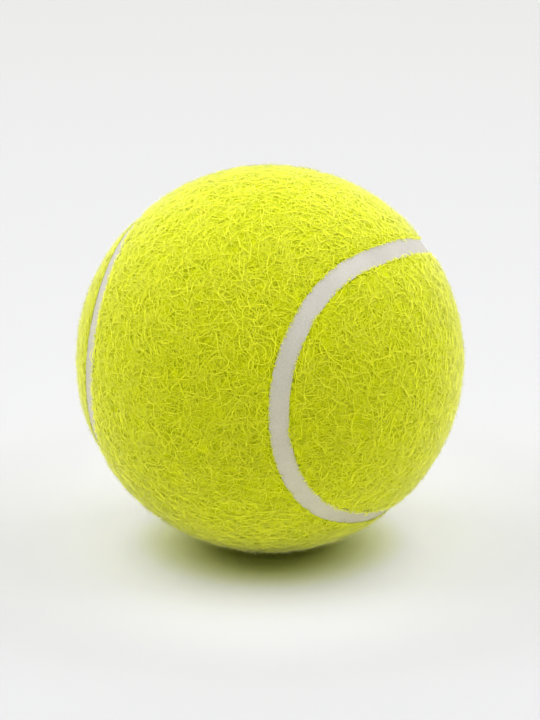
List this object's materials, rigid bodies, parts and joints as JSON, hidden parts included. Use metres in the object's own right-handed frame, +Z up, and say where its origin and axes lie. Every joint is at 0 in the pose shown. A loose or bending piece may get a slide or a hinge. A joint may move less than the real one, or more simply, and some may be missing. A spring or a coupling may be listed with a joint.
{
  "type": "tennis ball",
  "caption": "Pressurised ball with a bonded hollow rubber core, interlocking dumbbell-shaped felt panels and a pale recessed rubber seam, for hitting with a racket.",
  "frame": {"origin": "centre of the ball", "axes": "+Z up as the ball lies; X through the two lobes of the rear felt panel; the front felt panel's waist faces -Y"},
  "size_m": [0.067, 0.067, 0.067],
  "materials": {
    "core_rubber": "matte moulded black rubber, buffed outside",
    "joint_cement": "cured dark rubber cement",
    "panel_cement": "pale cured rubber cement",
    "felt": "napped wool and nylon felt, optic yellow",
    "seam_rubber": "matte moulded grey-white rubber"
  },
  "bodies": {
    "root": {"upper_core_half": "core_rubber", "lower_core_half": "core_rubber", "core_joint_cement": "joint_cement", "front_panel_cement": "panel_cement", "rear_panel_cement": "panel_cement", "front_felt_panel": "felt", "rear_felt_panel": "felt", "seam_rubber": "seam_rubber"}
  },
  "joints": []
}
